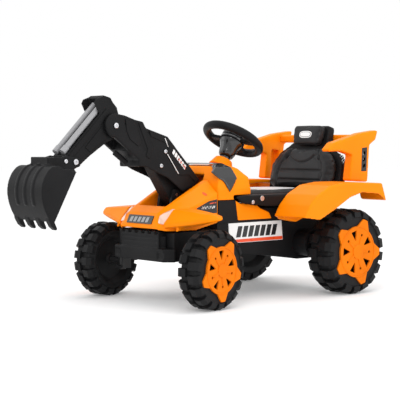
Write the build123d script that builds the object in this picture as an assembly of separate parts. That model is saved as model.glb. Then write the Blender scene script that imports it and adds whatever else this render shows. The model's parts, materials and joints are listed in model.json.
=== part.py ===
from build123d import *
import math
import os

# Ride-on digger: a child's electric tractor with a hand-worked digger arm.
# Millimetres, +Z up, the nose points to -Y and the driver's left is +X.
# Everything is drawn with the front axle at Y = 0 and moved to the middle of
# the footprint when it is written.

os.makedirs("parts", exist_ok=True)

# ---------------------------------------------------------------- overall
WHEELBASE = 569.0
FRONT_TRACK = 459.0          # between the mid planes of the front wheels
REAR_TRACK = 466.0
BODY_HALF = 126.0            # half width of the chassis tub
WALL = 4.0                   # blow-moulded and injection-moulded walls
SEAM = 0.4                   # gap between pieces that move past each other
FIT = 0.08                   # radial running clearance of shafts and bushes

# ---------------------------------------------------------------- wheels
FRONT_R = 112.0
FRONT_W = 74.0
REAR_R = 131.0
REAR_W = 97.0
LUG_HEIGHT = 10.0
LUG_COUNT = 18
LUG_SHARE = 0.58             # part of the pitch that a lug fills
TYRE_WALL = 3.5
CAP_THICK = 5.0
NUT_ROOM = 9.0               # depth behind the cap for the wheel nut
NUT_THICK = 5.0
CAP_LOBES = 5
CAP_DISC_SHARE = 0.60        # cap disc radius over wheel radius
CAP_LOBE_SHARE = 0.785       # lobe tip radius over wheel radius
FRONT_LOBE_ANGLE = -14.4
REAR_LOBE_ANGLE = -3.0
FRONT_AXLE_R = 5.0
REAR_AXLE_R = 6.0
REAR_AXLE_Z = REAR_R

# ---------------------------------------------------------------- steering
STEER_REST = 9.333           # road wheels stand turned this far to the left
STEER_RATIO = 1.5            # steering wheel angle over road wheel angle
KINGPIN_X = 162.0
KINGPIN_R = 6.0
KNUCKLE_ARM = 45.0
CRANK = KNUCKLE_ARM / STEER_RATIO
TIE_Z = 158.0
TIE_PLAY = 1.2               # sideways play of the pins in the tie rod slots
COLUMN_TILT = 31.0
RING_Y = 307.6
RING_Z = 477.2
RING_R = 86.3                # to the middle of the rim section
RIM_R = 13.0
COLUMN_R = 6.0
COLUMN_LENGTH = 362.0        # ring centre to the lower crank
SLEEVE_R = 14.0

# ---------------------------------------------------------------- arm
BOOM_HALF = 46.0
STICK_HALF = 32.0
BOOM_PIVOT = (52.0, 314.0)
ELBOW = (-183.0, 514.0)
BUCKET_PIVOT = (-317.0, 414.0)
BUCKET_BOLT = (-350.0, 416.0)
ARM_PIN_R = 5.0
ARM_CLEAR = 1.0
BUCKET_HALF = 85.0
TOOTH_COUNT = 4
TOOTH_WIDTH = 20.0

# ---------------------------------------------------------------- seat
SEAT_HALF = 150.0
SEAT_TOP = 311.0
SEAT_BOTTOM = 270.0
BACK_LEAN = 15.0
BACK_FOOT = (612.0, 296.0)
PAD_THICK = 22.0
SOFT_GAP = 0.3               # soft pads stay this clear of their shells

SIDES = {"left": 1, "right": -1}


# ---------------------------------------------------------------- helpers
def block(x0, x1, y0, y1, z0, z1):
    """A box given by its six faces."""
    middle = Pos((x0 + x1) / 2, (y0 + y1) / 2, (z0 + z1) / 2)
    return middle * Box(x1 - x0, y1 - y0, z1 - z0)


def outline(points, radius=0.0):
    """A closed face from corner points, all corners rounded alike."""
    if radius > 0:
        return make_face(FilletPolyline(*points, radius=radius, close=True))
    return make_face(Polyline(*points, close=True))


def side_prism(points, x0, x1, radius=0.0):
    """A (y, z) outline that runs from x0 to x1."""
    face = Plane.YZ.offset(x0) * outline(points, radius)
    return extrude(face, x1 - x0, dir=(1, 0, 0))


def front_prism(points, y0, y1, radius=0.0):
    """An (x, z) outline that runs from y0 to y1."""
    plane = Plane(origin=(0, y0, 0), x_dir=(1, 0, 0), z_dir=(0, -1, 0))
    return extrude(plane * outline(points, radius), y1 - y0, dir=(0, 1, 0))


def plan_prism(points, z0, z1, radius=0.0):
    """An (x, y) outline that runs from z0 to z1."""
    return extrude(Pos(0, 0, z0) * outline(points, radius), z1 - z0, dir=(0, 0, 1))


def rod(start, end, radius):
    """A round bar between two points."""
    a = Vector(*start)
    b = Vector(*end)
    low = (Align.CENTER, Align.CENTER, Align.MIN)
    return Plane(origin=a, z_dir=b - a) * Cylinder(radius, (b - a).length, align=low)


def cross_rod(y, z, x0, x1, radius):
    """A round bar along X at one (y, z) place."""
    return rod((x0, y, z), (x1, y, z), radius)


def mirrored(points):
    """A symmetric outline from its right-hand half, listed bottom to top."""
    return points + [(-x, y) for x, y in reversed(points)]


def both_sides(piece):
    """The piece and its mirror image across the middle of the vehicle."""
    return Compound([*piece.solids(), *mirror(piece, about=Plane.YZ).solids()])


def bolt_head(y, z, x, side, radius=6.0, depth=4.0):
    """A domed bolt head lying on a side face, its socket facing outward."""
    head = cross_rod(y, z, x, x + side * depth, radius)
    rim = head.edges().filter_by(GeomType.CIRCLE).sort_by(Axis.X)[-1 if side > 0 else 0]
    head = fillet(rim, depth * 0.45)
    return head - cross_rod(y, z, x + side * depth * 0.5, x + side * (depth + 1), radius * 0.4)


# ---------------------------------------------------------------- wheels
def tyre(radius, width, bore):
    """Hollow moulded wheel with its tread, axle along X, outer face at +X."""
    half = width / 2
    crown = radius - LUG_HEIGHT
    shoulder = radius * 0.13
    hub_r = bore + 9
    dish_r = radius * CAP_DISC_SHARE - 8
    dish = 16.0
    inner_dish = half * 0.55
    seat = half - CAP_THICK + 1
    lobe_r = radius * CAP_LOBE_SHARE
    skin = [
        (bore, -half * 0.62), (hub_r, -half * 0.62), (hub_r + 4, -half + inner_dish),
        (dish_r, -half + inner_dish), (radius * 0.66, -half + 5), (crown - shoulder, -half),
        (crown, -half + shoulder * 0.8), (crown, half - shoulder * 0.8),
        (lobe_r + 4, half - 1), (lobe_r + 2, seat),
        (dish_r, seat), (dish_r - 3, seat - dish), (hub_r + 3, seat - dish),
        (hub_r, seat - NUT_ROOM), (bore, seat - NUT_ROOM),
    ]
    t = TYRE_WALL
    void = [
        (hub_r + 4 + 2 * t, -half + inner_dish + t), (dish_r + t, -half + inner_dish + t),
        (radius * 0.66 + t, -half + 5 + t), (crown - shoulder, -half + t),
        (crown - t, -half + shoulder * 0.8 + t), (crown - t, half - shoulder * 0.8 - t),
        (lobe_r + 1, seat - t),
        (dish_r + t, seat - t), (dish_r + 0.5 * t, seat - dish - t), (hub_r + 3 + t, seat - dish - t),
    ]
    turn = Plane(origin=(0, 0, 0), x_dir=(0, 0, 1), z_dir=(0, 1, 0))
    body = revolve(turn * outline(skin), Axis.X) - revolve(turn * outline(void), Axis.X)
    pitch = 360.0 / LUG_COUNT
    lug_half = math.radians(pitch * LUG_SHARE) * radius / 2
    lug = [
        (crown - 2, 2.0), (radius - 1, 4.0), (radius, half * 0.62), (crown + 1, half - 1),
        (lobe_r + 3.5, half + 0.8), (lobe_r + 3.5, half - 3),
    ]
    lugs = []
    for side in (1, -1):
        points = [(r, side * x) for r, x in lug]
        plate = turn * outline(points)
        tooth = extrude(plate, lug_half, both=True)
        for i in range(LUG_COUNT):
            angle = pitch * (i + (0.5 if side < 0 else 0.0))
            lugs.append(Rot(angle, 0, 0) * tooth)
    return body.fuse(*lugs)


def hub_cap(radius, width, lobe_angle):
    """Pressed-on wheel cap: a disc whose lobes reach over the side wall."""
    disc_r = radius * CAP_DISC_SHARE
    lobe_r = radius * CAP_LOBE_SHARE
    base = width / 2 - CAP_THICK + 1
    flat = Plane(origin=(base, 0, 0), x_dir=(0, 1, 0), z_dir=(1, 0, 0))
    shape = Circle(disc_r)
    lobe_half = lobe_r * math.radians(9)
    step = 360.0 / CAP_LOBES
    lobe = outline([(0, -lobe_half * 1.6), (disc_r * 0.97, -lobe_half * 1.6), (lobe_r, -lobe_half * 0.6),
                    (lobe_r, lobe_half * 0.6), (disc_r * 0.97, lobe_half * 1.6), (0, lobe_half * 1.6)], 3)
    for i in range(CAP_LOBES):
        shape = shape + Rot(0, 0, lobe_angle + step * i) * lobe
    window = outline([(radius * 0.24, 0), (radius * 0.50, -radius * 0.10), (radius * 0.50, radius * 0.10)], 2)
    for i in range(CAP_LOBES):
        shape = shape - Rot(0, 0, lobe_angle + step * (i + 0.5)) * window
        shape = shape - Rot(0, 0, lobe_angle + step * i) * Pos(radius * 0.41, 0) * Circle(radius * 0.035)
    cap = extrude(flat * shape, CAP_THICK, dir=(1, 0, 0))
    top = base + CAP_THICK
    boss = cross_rod(0, 0, base, top + 2, radius * 0.17)
    rib = block(top - 1, top + 1.6, radius * 0.12, radius * 0.35, -3, 3)
    ribs = [Rot(lobe_angle + step * i, 0, 0) * rib for i in range(CAP_LOBES)]
    rim = cross_rod(0, 0, top - 1, top + 1.2, disc_r) - cross_rod(0, 0, top - 2, top + 2, disc_r - 4)
    return cap.fuse(boss, rim, *ribs)


nodes = {}

# ---------------------------------------------------------------- four wheels
FRONT_OFFSET = FRONT_TRACK / 2 - KINGPIN_X


def knuckle_frame(side):
    """The steered frame at a kingpin, X outward along the stub axle."""
    return Pos(side * KINGPIN_X, 0, FRONT_R) * Rot(0, 0, STEER_REST)


def facing(side):
    """Turns a piece drawn for the left side to face its own side."""
    return Rot(0, 0, 0) if side > 0 else Rot(0, 0, 180)


front_bore = FRONT_AXLE_R + FIT
rear_bore = REAR_AXLE_R + FIT
front_tyre = tyre(FRONT_R, FRONT_W, front_bore)
rear_tyre = tyre(REAR_R, REAR_W, rear_bore)
for name, side in SIDES.items():
    lobes_front = FRONT_LOBE_ANGLE * side
    lobes_rear = REAR_LOBE_ANGLE * side
    front_cap = hub_cap(FRONT_R, FRONT_W, lobes_front)
    rear_cap = hub_cap(REAR_R, REAR_W, lobes_rear)
    hub = knuckle_frame(side) * Pos(side * FRONT_OFFSET, 0, 0) * facing(side)
    nodes["front_tyre_" + name] = hub * front_tyre
    nodes["front_cap_" + name] = hub * front_cap
    axle_end = Pos(side * REAR_TRACK / 2, WHEELBASE, REAR_AXLE_Z) * facing(side)
    nodes["rear_tyre_" + name] = axle_end * rear_tyre
    nodes["rear_cap_" + name] = axle_end * rear_cap

# ---------------------------------------------------------------- front beam
LUG_THICK = 8.0
SLEEVE_HALF = 16.0
SLEEVE_OUT = 12.0
BEAM_Z0 = FRONT_R + SLEEVE_HALF + SEAM
BEAM_Z1 = BEAM_Z0 + 26.0
BEAM_DEPTH = 16.0
BEAM_WEB = 5.0               # thin enough for the knuckle arms at full lock
WEB_IN = 22.0                # the webs stand this far inside the kingpins
BEAM_OUT = 14.0
beam = block(-KINGPIN_X - BEAM_OUT, KINGPIN_X + BEAM_OUT, -BEAM_DEPTH, BEAM_DEPTH, BEAM_Z0, BEAM_Z0 + LUG_THICK)
beam += block(-KINGPIN_X + WEB_IN, KINGPIN_X - WEB_IN, -BEAM_DEPTH, BEAM_DEPTH, BEAM_Z0, BEAM_Z1)
for side in SIDES.values():
    inner = side * (KINGPIN_X - WEB_IN)
    web = sorted([inner, inner + side * BEAM_WEB])
    beam += block(web[0], web[1], -BEAM_DEPTH, BEAM_DEPTH, FRONT_R - SLEEVE_HALF - LUG_THICK - SEAM, BEAM_Z1)
    low = sorted([inner, side * (KINGPIN_X + BEAM_OUT)])
    z_low = FRONT_R - SLEEVE_HALF - SEAM
    beam += block(low[0], low[1], -BEAM_DEPTH, BEAM_DEPTH, z_low - LUG_THICK, z_low)
    beam -= rod((side * KINGPIN_X, 0, z_low - 20), (side * KINGPIN_X, 0, BEAM_Z1 + 20), KINGPIN_R)
nodes["front_beam"] = beam

kingpins = []
for side in SIDES.values():
    x = side * KINGPIN_X
    foot = FRONT_R - SLEEVE_HALF - SEAM - LUG_THICK
    pin = rod((x, 0, foot), (x, 0, BEAM_Z0 + LUG_THICK), KINGPIN_R)
    pin += rod((x, 0, foot - 4), (x, 0, foot), KINGPIN_R + 4)
    pin += rod((x, 0, BEAM_Z0 + LUG_THICK), (x, 0, BEAM_Z0 + LUG_THICK + 5), KINGPIN_R + 3)
    kingpins += pin.solids()
nodes["kingpins"] = Compound(kingpins)

# ---------------------------------------------------------------- knuckles
ARM_THICK = 6.0
PIN_R = 3.5
for name, side in SIDES.items():
    sleeve = rod((0, 0, -SLEEVE_HALF), (0, 0, SLEEVE_HALF), SLEEVE_OUT)
    hub_face = FRONT_OFFSET + FRONT_W / 2 + 1 - CAP_THICK - NUT_ROOM + SEAM
    stub = rod((0, 0, 0), (side * (hub_face + NUT_THICK + 2), 0, 0), FRONT_AXLE_R)
    collar_end = FRONT_OFFSET - FRONT_W / 2 * 0.62 - SEAM
    collar = rod((0, 0, 0), (side * collar_end, 0, 0), 9.0)
    arm_z0 = SLEEVE_HALF - ARM_THICK
    arm = block(-9, 9, 0, KNUCKLE_ARM, arm_z0, SLEEVE_HALF)
    arm += rod((0, KNUCKLE_ARM, arm_z0), (0, KNUCKLE_ARM, SLEEVE_HALF), 9)
    pin = rod((0, KNUCKLE_ARM, SLEEVE_HALF), (0, KNUCKLE_ARM, TIE_Z - FRONT_R + 8), PIN_R)
    knuckle = sleeve + stub + collar + arm + pin
    knuckle -= rod((0, 0, -30), (0, 0, 30), KINGPIN_R + FIT)
    nodes["knuckle_" + name] = knuckle_frame(side) * knuckle
    nut = rod((side * hub_face, 0, 0), (side * (hub_face + NUT_THICK), 0, 0), 9)
    nut -= rod((0, 0, 0), (side * 200, 0, 0), FRONT_AXLE_R)
    nodes["front_nut_" + name] = knuckle_frame(side) * nut

# ---------------------------------------------------------------- tie rod
rest = math.radians(STEER_REST)
tie_x = -KNUCKLE_ARM * math.sin(rest)
TIE_HALF_H = 4.0
TAB_THICK = 4.0
slot_front = KNUCKLE_ARM * math.cos(math.radians(24)) - PIN_R - 1.0
slot_back = KNUCKLE_ARM + PIN_R + 1.0
bar = block(-KINGPIN_X - 14, KINGPIN_X + 14, slot_front - 5, slot_back + 5, TIE_Z - TIE_HALF_H, TIE_Z + TIE_HALF_H)
for side in SIDES.values():
    slot_half = PIN_R + TIE_PLAY
    x = side * KINGPIN_X
    bar -= block(x - slot_half, x + slot_half, slot_front, slot_back, TIE_Z - 10, TIE_Z + 10)
lean = math.radians(COLUMN_TILT)
axis_n = Vector(0, math.sin(lean), math.cos(lean))
axis_e = Vector(0, math.cos(lean), -math.sin(lean))
ring = Vector(0, RING_Y, RING_Z)
column_foot = ring - axis_n * COLUMN_LENGTH
crank_tip = column_foot + axis_e * CRANK
tab_y0 = crank_tip.Y - 20
tab_y1 = crank_tip.Y + 3
tab_half = PIN_R + TIE_PLAY
tab_z1 = crank_tip.Z - 8.5
bar += block(-16, 16, slot_back, tab_y1 + 8, tab_z1 - TAB_THICK, tab_z1)
bar += block(-16, 16, slot_back, slot_back + TAB_THICK, tab_z1 - TAB_THICK, TIE_Z)
bar -= block(-tab_half, tab_half, tab_y0, tab_y1, TIE_Z - 20, TIE_Z + 20)
nodes["tie_rod"] = Pos(tie_x, 0, 0) * bar

# ---------------------------------------------------------------- steering column and wheel
COLUMN_TOP = 12.0
CRANK_HALF = 4.0
tilt_frame = Plane(origin=ring, x_dir=(1, 0, 0), z_dir=axis_n)
turned = Rot(0, 0, STEER_REST * STEER_RATIO)


def on_column(piece):
    """Places a piece drawn about the column axis, ring centre at the origin."""
    return tilt_frame * (turned * piece)


foot_t = -COLUMN_LENGTH
shaft = rod((0, 0, foot_t - CRANK_HALF), (0, 0, COLUMN_TOP), COLUMN_R)
crank = block(-COLUMN_R, COLUMN_R, -CRANK, 0, foot_t - CRANK_HALF, foot_t + CRANK_HALF)
crank += rod((0, -CRANK, foot_t - CRANK_HALF), (0, -CRANK, foot_t + CRANK_HALF), COLUMN_R)
crank_pin = rod((0, -CRANK, foot_t), (0, -CRANK, foot_t - 20), PIN_R)
nodes["steering_shaft"] = on_column(shaft + crank + crank_pin)
SLEEVE_TOP = -14.0
SLEEVE_FOOT = -86.0
sleeve = rod((0, 0, SLEEVE_FOOT), (0, 0, SLEEVE_TOP), SLEEVE_R)
sleeve += rod((0, 0, -34), (0, 0, SLEEVE_TOP), SLEEVE_R + 5)
sleeve -= rod((0, 0, SLEEVE_FOOT - 1), (0, 0, SLEEVE_TOP + 1), COLUMN_R)
nodes["column_sleeve"] = on_column(sleeve)

rim = Torus(RING_R, RIM_R)
HUB_R = 36.0
HUB_TOP = 10.0
for angle in (0, 180, 90):
    spoke = block(HUB_R - 8, RING_R - 4, -12, 12, -8, 2)
    rim += Rot(0, 0, angle) * spoke
HUB_FACE = 2.0
rim += rod((0, 0, SLEEVE_TOP), (0, 0, HUB_FACE), HUB_R)
rim -= rod((0, 0, SLEEVE_TOP - 1), (0, 0, COLUMN_TOP), COLUMN_R)
nodes["steering_rim"] = on_column(rim)
pad = rod((0, 0, HUB_FACE), (0, 0, HUB_TOP + 8), HUB_R + 2)
pad = fillet(pad.edges().group_by(Axis.Z)[-1], 7)
BUTTON_R = 11.0
BUTTON_TRAVEL = 3.0
pad -= rod((0, 0, 0), (0, 0, COLUMN_TOP + 0.5), COLUMN_R + 0.5)
pad -= rod((0, 0, HUB_TOP + 2), (0, 0, HUB_TOP + 20), BUTTON_R + SEAM)
nodes["steering_pad"] = on_column(pad)
button = rod((0, 0, HUB_TOP + 2 + BUTTON_TRAVEL + SEAM), (0, 0, HUB_TOP + 8 + BUTTON_TRAVEL), BUTTON_R)
button = fillet(button.edges().group_by(Axis.Z)[-1], 1.5)
nodes["horn_button"] = on_column(button)

# ---------------------------------------------------------------- chassis tub
tub_side = [(-38, 212), (-38, 128), (215, 139), (307, 127), (380, 118), (464, 105), (640, 105),
            (652, 200), (640, 294), (560, 294), (520, 269), (126, 269), (126, 212)]
tub = side_prism(tub_side, -BODY_HALF, BODY_HALF, 6)
room = [(-34, 300), (-34, 132), (215, 143), (307, 131), (380, 122), (464, 109), (636, 109),
        (648, 200), (636, 320), (540, 320)]
tub -= side_prism(room, -BODY_HALF + WALL, BODY_HALF - WALL)
STEER_GAP = 6.0
tub -= block(-200, 200, -BEAM_DEPTH - STEER_GAP, slot_back + 12, 100, BEAM_Z0 - SEAM - 1)
tub -= block(-200, 200, -BEAM_DEPTH, BEAM_DEPTH, 100, BEAM_Z1)
tub -= block(-200, 200, BEAM_DEPTH, slot_back + 12, 100, TIE_Z + TIE_HALF_H + 6)
TAB_ROOM = 46.0
tub -= block(-TAB_ROOM, TAB_ROOM, slot_back, tab_y1 + 16, 100, tab_z1 + 6)
tub -= cross_rod(WHEELBASE, REAR_AXLE_Z, -200, 200, REAR_AXLE_R + 0.5)
BATTERY_Z = 141.0
for side in SIDES.values():
    x_pair = sorted([side * (BODY_HALF - 1), side * (BODY_HALF + 4)])
    tub += side_prism([(127, 232), (205, 232), (205, 236), (195.4, 296.6), (127, 296.6)], *x_pair)
    tub += block(side * 47 - 4, side * 47 + 4, 250, 401, 124, BATTERY_Z) & side_prism(tub_side, -60, 60)
bearing_y = column_foot.Y + 0.12 * COLUMN_LENGTH * math.sin(lean)
bearing_z = column_foot.Z + 0.12 * COLUMN_LENGTH * math.cos(lean)
tub += block(-BODY_HALF + 1, BODY_HALF - 1, bearing_y - 12, bearing_y + 12, bearing_z - 6, bearing_z + 6)
tub -= on_column(rod((0, 0, -COLUMN_LENGTH - 10), (0, 0, 0), COLUMN_R + FIT))
nodes["chassis_tub"] = tub

battery = block(-50, 50, 250, 401, BATTERY_Z, BATTERY_Z + 94)
for x in (-39, 39):
    battery += block(x - 5, x + 5, 262, 272, BATTERY_Z + 94, BATTERY_Z + 99)
nodes["battery"] = battery

# ---------------------------------------------------------------- rear drive
GEAR_X0 = BODY_HALF
GEAR_X1 = REAR_TRACK / 2 - REAR_W / 2 * 0.62 - SEAM
rear_face = REAR_TRACK / 2 + REAR_W / 2 + 1 - CAP_THICK - NUT_ROOM + SEAM
axle_half = rear_face + NUT_THICK + 2
nodes["rear_axle"] = cross_rod(WHEELBASE, REAR_AXLE_Z, -axle_half, axle_half, REAR_AXLE_R)
MOTOR_Y = WHEELBASE - 88.0
MOTOR_Z = REAR_AXLE_Z + 25.0
DRUM_R = 40.0
motors = []
rear_nuts = []
for name, side in SIDES.items():
    inner_x = side * (REAR_TRACK / 2 - REAR_W / 2 - 3)
    x_pair = sorted([side * GEAR_X0, inner_x])
    gearbox = side_prism([(MOTOR_Y, MOTOR_Z - DRUM_R), (WHEELBASE, REAR_AXLE_Z - 32),
                          (WHEELBASE, REAR_AXLE_Z + 32), (MOTOR_Y, MOTOR_Z + DRUM_R)], *x_pair)
    gearbox += cross_rod(WHEELBASE, REAR_AXLE_Z, *x_pair, 32) + cross_rod(MOTOR_Y, MOTOR_Z, *x_pair, DRUM_R)
    gearbox += cross_rod(WHEELBASE, REAR_AXLE_Z, inner_x, side * GEAR_X1, 20)
    gearbox -= cross_rod(WHEELBASE, REAR_AXLE_Z, -400, 400, REAR_AXLE_R)
    nodes["gearbox_" + name] = gearbox
    motors += cross_rod(MOTOR_Y, MOTOR_Z, side * (BODY_HALF - WALL), side * (BODY_HALF - 62), 18).solids()
    nut = cross_rod(WHEELBASE, REAR_AXLE_Z, side * rear_face, side * (rear_face + NUT_THICK), 10)
    rear_nuts += (nut - cross_rod(WHEELBASE, REAR_AXLE_Z, -400, 400, REAR_AXLE_R)).solids()
nodes["drive_motors"] = Compound(motors)
nodes["rear_nuts"] = Compound(rear_nuts)

# ---------------------------------------------------------------- bumper
BUMPER_Y = -63.0
bumper = block(-86, 86, BUMPER_Y, -38, 165, 214)
ledge = [(-140, -38), (-112, BUMPER_Y - 5), (112, BUMPER_Y - 5), (140, -38)]
bumper += plan_prism(ledge, 128, 165, 4)
bumper += plan_prism([(-96, -38), (-84, BUMPER_Y + 3), (84, BUMPER_Y + 3), (96, -38)], 164, 200, 3)
for x in (-100, 100):
    bumper -= block(x - 14, x + 14, BUMPER_Y - 6, BUMPER_Y - 2, 136, 156)
NOTCHES = 6
for i in range(NOTCHES):
    x = -75 + i * 150 / (NOTCHES - 1)
    bumper -= block(x - 8, x + 8, BUMPER_Y - 1, BUMPER_Y + 8, 206, 220)
for z in (180, 192):
    bumper -= block(-80, 80, BUMPER_Y - 1, BUMPER_Y + 2, z, z + 5)
nodes["front_bumper"] = bumper

# ---------------------------------------------------------------- hood
def hood_section(y, top_half, top_z, edge_half, edge_z, low_half, low_z):
    """One (x, z) cross-section of the hood, seen from the front."""
    half = [(low_half, low_z), (edge_half, edge_z), (top_half, top_z)]
    plane = Plane(origin=(0, y, 0), x_dir=(1, 0, 0), z_dir=(0, -1, 0))
    return plane * outline(mirrored(half))


def hood_body(inset):
    """Outer shape of the hood, or the room inside it for inset > 0."""
    stations = [
        (-66, 62, 230, 84, 226, 86, 219),
        (-50, 66, 264, 98, 240, 104, 215),
        (-20, 70, 282, 116, 262, 120, 214),
        (40, 76, 314, 128, 286, 130, 214),
        (126, 86, 357, 130, 318, 130, 232),
    ]
    faces = []
    for y, top_half, top_z, edge_half, edge_z, low_half, low_z in stations:
        shift = inset if y < 0 else 0
        faces.append(hood_section(y + shift, top_half - inset, top_z - inset, edge_half - inset,
                                  edge_z - inset, low_half - inset, low_z - inset * 3))
    return loft(faces, ruled=True)


TROUGH_HALF = 60.0
TROUGH_FLOOR = 256.0
hood = hood_body(0) - hood_body(WALL)
trough = side_prism([(-16, 420), (-16, 282), (0, TROUGH_FLOOR), (140, TROUGH_FLOOR), (140, 420)],
                    -TROUGH_HALF, TROUGH_HALF, 5)
trough_skin = side_prism([(-20, 400), (-20, 281), (-3, TROUGH_FLOOR - WALL), (126, TROUGH_FLOOR - WALL), (126, 400)],
                         -TROUGH_HALF - WALL, TROUGH_HALF + WALL, 3)
hood = hood + (trough_skin & hood_body(0)) - trough
nodes["hood"] = hood

# ---------------------------------------------------------------- front fenders
FENDER_TIP_X = 267.0
fender_sections = [
    (100, [(-56, 224), (-58, 238), (-22, 276), (30, 282), (84, 264), (84, 256), (20, 236), (-20, 222)]),
    (200, [(-24, 238), (-26, 250), (-12, 270), (20, 273), (66, 262), (66, 257), (20, 240), (-8, 234)]),
    (242, [(-12, 246), (-12, 254), (-2, 268), (14, 269), (40, 261), (40, 256), (14, 247), (0, 244)]),
    (FENDER_TIP_X, [(6, 252), (6, 254), (9, 257), (13, 257.5), (19, 256), (19, 253.5), (13, 251), (9, 250.5)]),
]
blade = loft([Plane.YZ.offset(x) * outline(points) for x, points in fender_sections], ruled=True)
skirt = side_prism([(-40, 215), (72, 236), (84, 262), (-20, 262)], 131, 141)
blade = (blade + skirt) - hood_body(0)

# ---------------------------------------------------------------- lamps and plate
lamp_zone = side_prism([(-60, 234), (-52, 258), (-14, 277), (6, 266), (-18, 243)], 78, 140, 3)
lamp = (hood_body(-1.6) - hood_body(0)) & lamp_zone
nodes["headlights"] = both_sides(lamp)
blade = (blade - lamp).solids().sort_by(SortBy.VOLUME)[-1]
nodes["front_fender_left"] = blade
nodes["front_fender_right"] = mirror(blade, about=Plane.YZ)
plate_zone = block(-56, 56, -100, -30, 234, 257)
nodes["number_plate"] = (hood_body(-2.0) - hood_body(0)) & plate_zone

# ---------------------------------------------------------------- dash
def dash_section(grow, y0, y1):
    """Rounded (x, z) outline of the dash, grown outward."""
    half = [(130 + grow, 200), (130 + grow, 330), (124 + grow, 362), (104 + grow, 390 + grow), (70, 402 + grow)]
    return front_prism(mirrored(half), y0, y1)


dash_side = [(126.4, 297), (196, 297), (206, 236), (349, 236), (338, 256), (300, 270), (262, 296),
             (256, 364), (218, 400), (150, 396), (134, 356), (126.4, 336)]
dash = side_prism(dash_side, -134, 134, 2) & dash_section(0, 100, 360)
hollow = side_prism([(130.4, 200), (130.4, 334), (138, 354), (154, 392), (216, 396), (252, 362), (258, 200)],
                    -134, 134) & dash_section(-WALL, 100, 360)
dash -= hollow
dash -= block(-BODY_HALF - 0.2, BODY_HALF + 0.2, 190, 360, 200, 297)
dash -= cross_rod(BOOM_PIVOT[0], BOOM_PIVOT[1], -BOOM_HALF - 6, BOOM_HALF + 6, 108)
dash -= on_column(rod((0, 0, -200), (0, 0, 0), SLEEVE_R + 2))
dash -= block(-SEAT_HALF - 1, SEAT_HALF + 1, 188, 400, SEAT_BOTTOM - 0.5, SEAT_TOP + 0.5) & side_prism(
    [(188, 311.5), (190, 300), (214, 288), (320, 275), (400, 270), (400, 311.5)], -200, 200)
nodes["dash_body"] = dash

cowl_side = [(112, 380), (136, 397), (196, 412), (207, 362), (171, 319), (150, 352), (132, 362)]
cowl = side_prism(cowl_side, -136, 136, 3) & dash_section(4, 100, 230)
cowl -= dash_section(0, 100, 230)
cowl -= side_prism([(90, 300), (126, 300), (130, 366), (112, 366), (90, 366)], -200, 200)
nodes["dash_cowl"] = cowl

collar_low = -104.0
collar_high = -74.0
cone = Pos(0, 0, (collar_low + collar_high) / 2) * Cone(40, 27, collar_high - collar_low)
cone -= rod((0, 0, -200), (0, 0, 0), SLEEVE_R + 2)
nodes["column_collar"] = (tilt_frame * cone) - side_prism(dash_side, -134, 134, 2)

# ---------------------------------------------------------------- side labels
LABEL_THICK = 2.0
label = [(170, 229), (392, 229), (398, 169.5), (198, 169.5)]
labels = []
for side in SIDES.values():
    x_pair = sorted([side * BODY_HALF, side * (BODY_HALF + LABEL_THICK)])
    labels += side_prism(label, x_pair[0], x_pair[1], 3).solids()
nodes["side_labels"] = Compound(labels)

# ---------------------------------------------------------------- seat
seat_side = [(191, 307), (216, 287), (320, SEAT_BOTTOM + 5), (483, SEAT_BOTTOM), (600, SEAT_BOTTOM + 25),
             (604, SEAT_TOP), (216, SEAT_TOP)]
seat_plan = [(-SEAT_HALF + 18, 188), (SEAT_HALF - 18, 188), (SEAT_HALF, 240), (SEAT_HALF, 600), (-SEAT_HALF, 600), (-SEAT_HALF, 240)]
seat = side_prism(seat_side, -SEAT_HALF, SEAT_HALF, 2) & plan_prism(seat_plan, 200, 400, 16)
DISH_HALF = 112.0
DISH_Y = (262.0, 568.0)
DISH_FLOOR = 298.0
seat -= plan_prism([(-DISH_HALF, DISH_Y[0]), (DISH_HALF, DISH_Y[0]), (DISH_HALF, DISH_Y[1]), (-DISH_HALF, DISH_Y[1])],
                   DISH_FLOOR, 400, 30)
seat -= block(-SEAT_HALF + 8, SEAT_HALF - 8, 262, 590, 200, DISH_FLOOR - WALL) & side_prism(
    [(262, 200), (262, 294), (590, 294), (590, 200)], -BODY_HALF - 1, BODY_HALF + 1)
seat -= side_prism(tub_side, -BODY_HALF, BODY_HALF, 6)
seat -= block(-130.4, 130.4, 180, 262.4, 200, 400)
nodes["seat_base"] = seat
nodes["dash_body"] = nodes["dash_body"] - seat
cushion = plan_prism([(-DISH_HALF + 1, DISH_Y[0] + 1), (DISH_HALF - 1, DISH_Y[0] + 1),
                      (DISH_HALF - 1, DISH_Y[1] - 1), (-DISH_HALF + 1, DISH_Y[1] - 1)],
                     DISH_FLOOR, 317, 29)
nodes["seat_cushion"] = cushion

back_lean = math.radians(BACK_LEAN)
back_frame = Plane(origin=(0, *BACK_FOOT), x_dir=(1, 0, 0),
                   z_dir=(0, -math.cos(back_lean), math.sin(back_lean)))
back_half = [(130, 0), (151, 20), (157, 60), (153, 106), (130, 142), (98, 162), (74, 180), (70, 234)]
SHELL_THICK = 28.0


def on_back(points, w0, w1, radius=0.0):
    """A prism across the backrest: (x, height) outline between two depths."""
    face = back_frame * (Pos(0, 0, w0) * outline(points, radius))
    return extrude(face, w1 - w0, dir=back_frame.z_dir)


def inset_half(points, inset):
    """The half outline moved inward by about the inset."""
    return [(x - inset, min(y + inset, points[-1][1] - inset)) for x, y in points]


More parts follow.
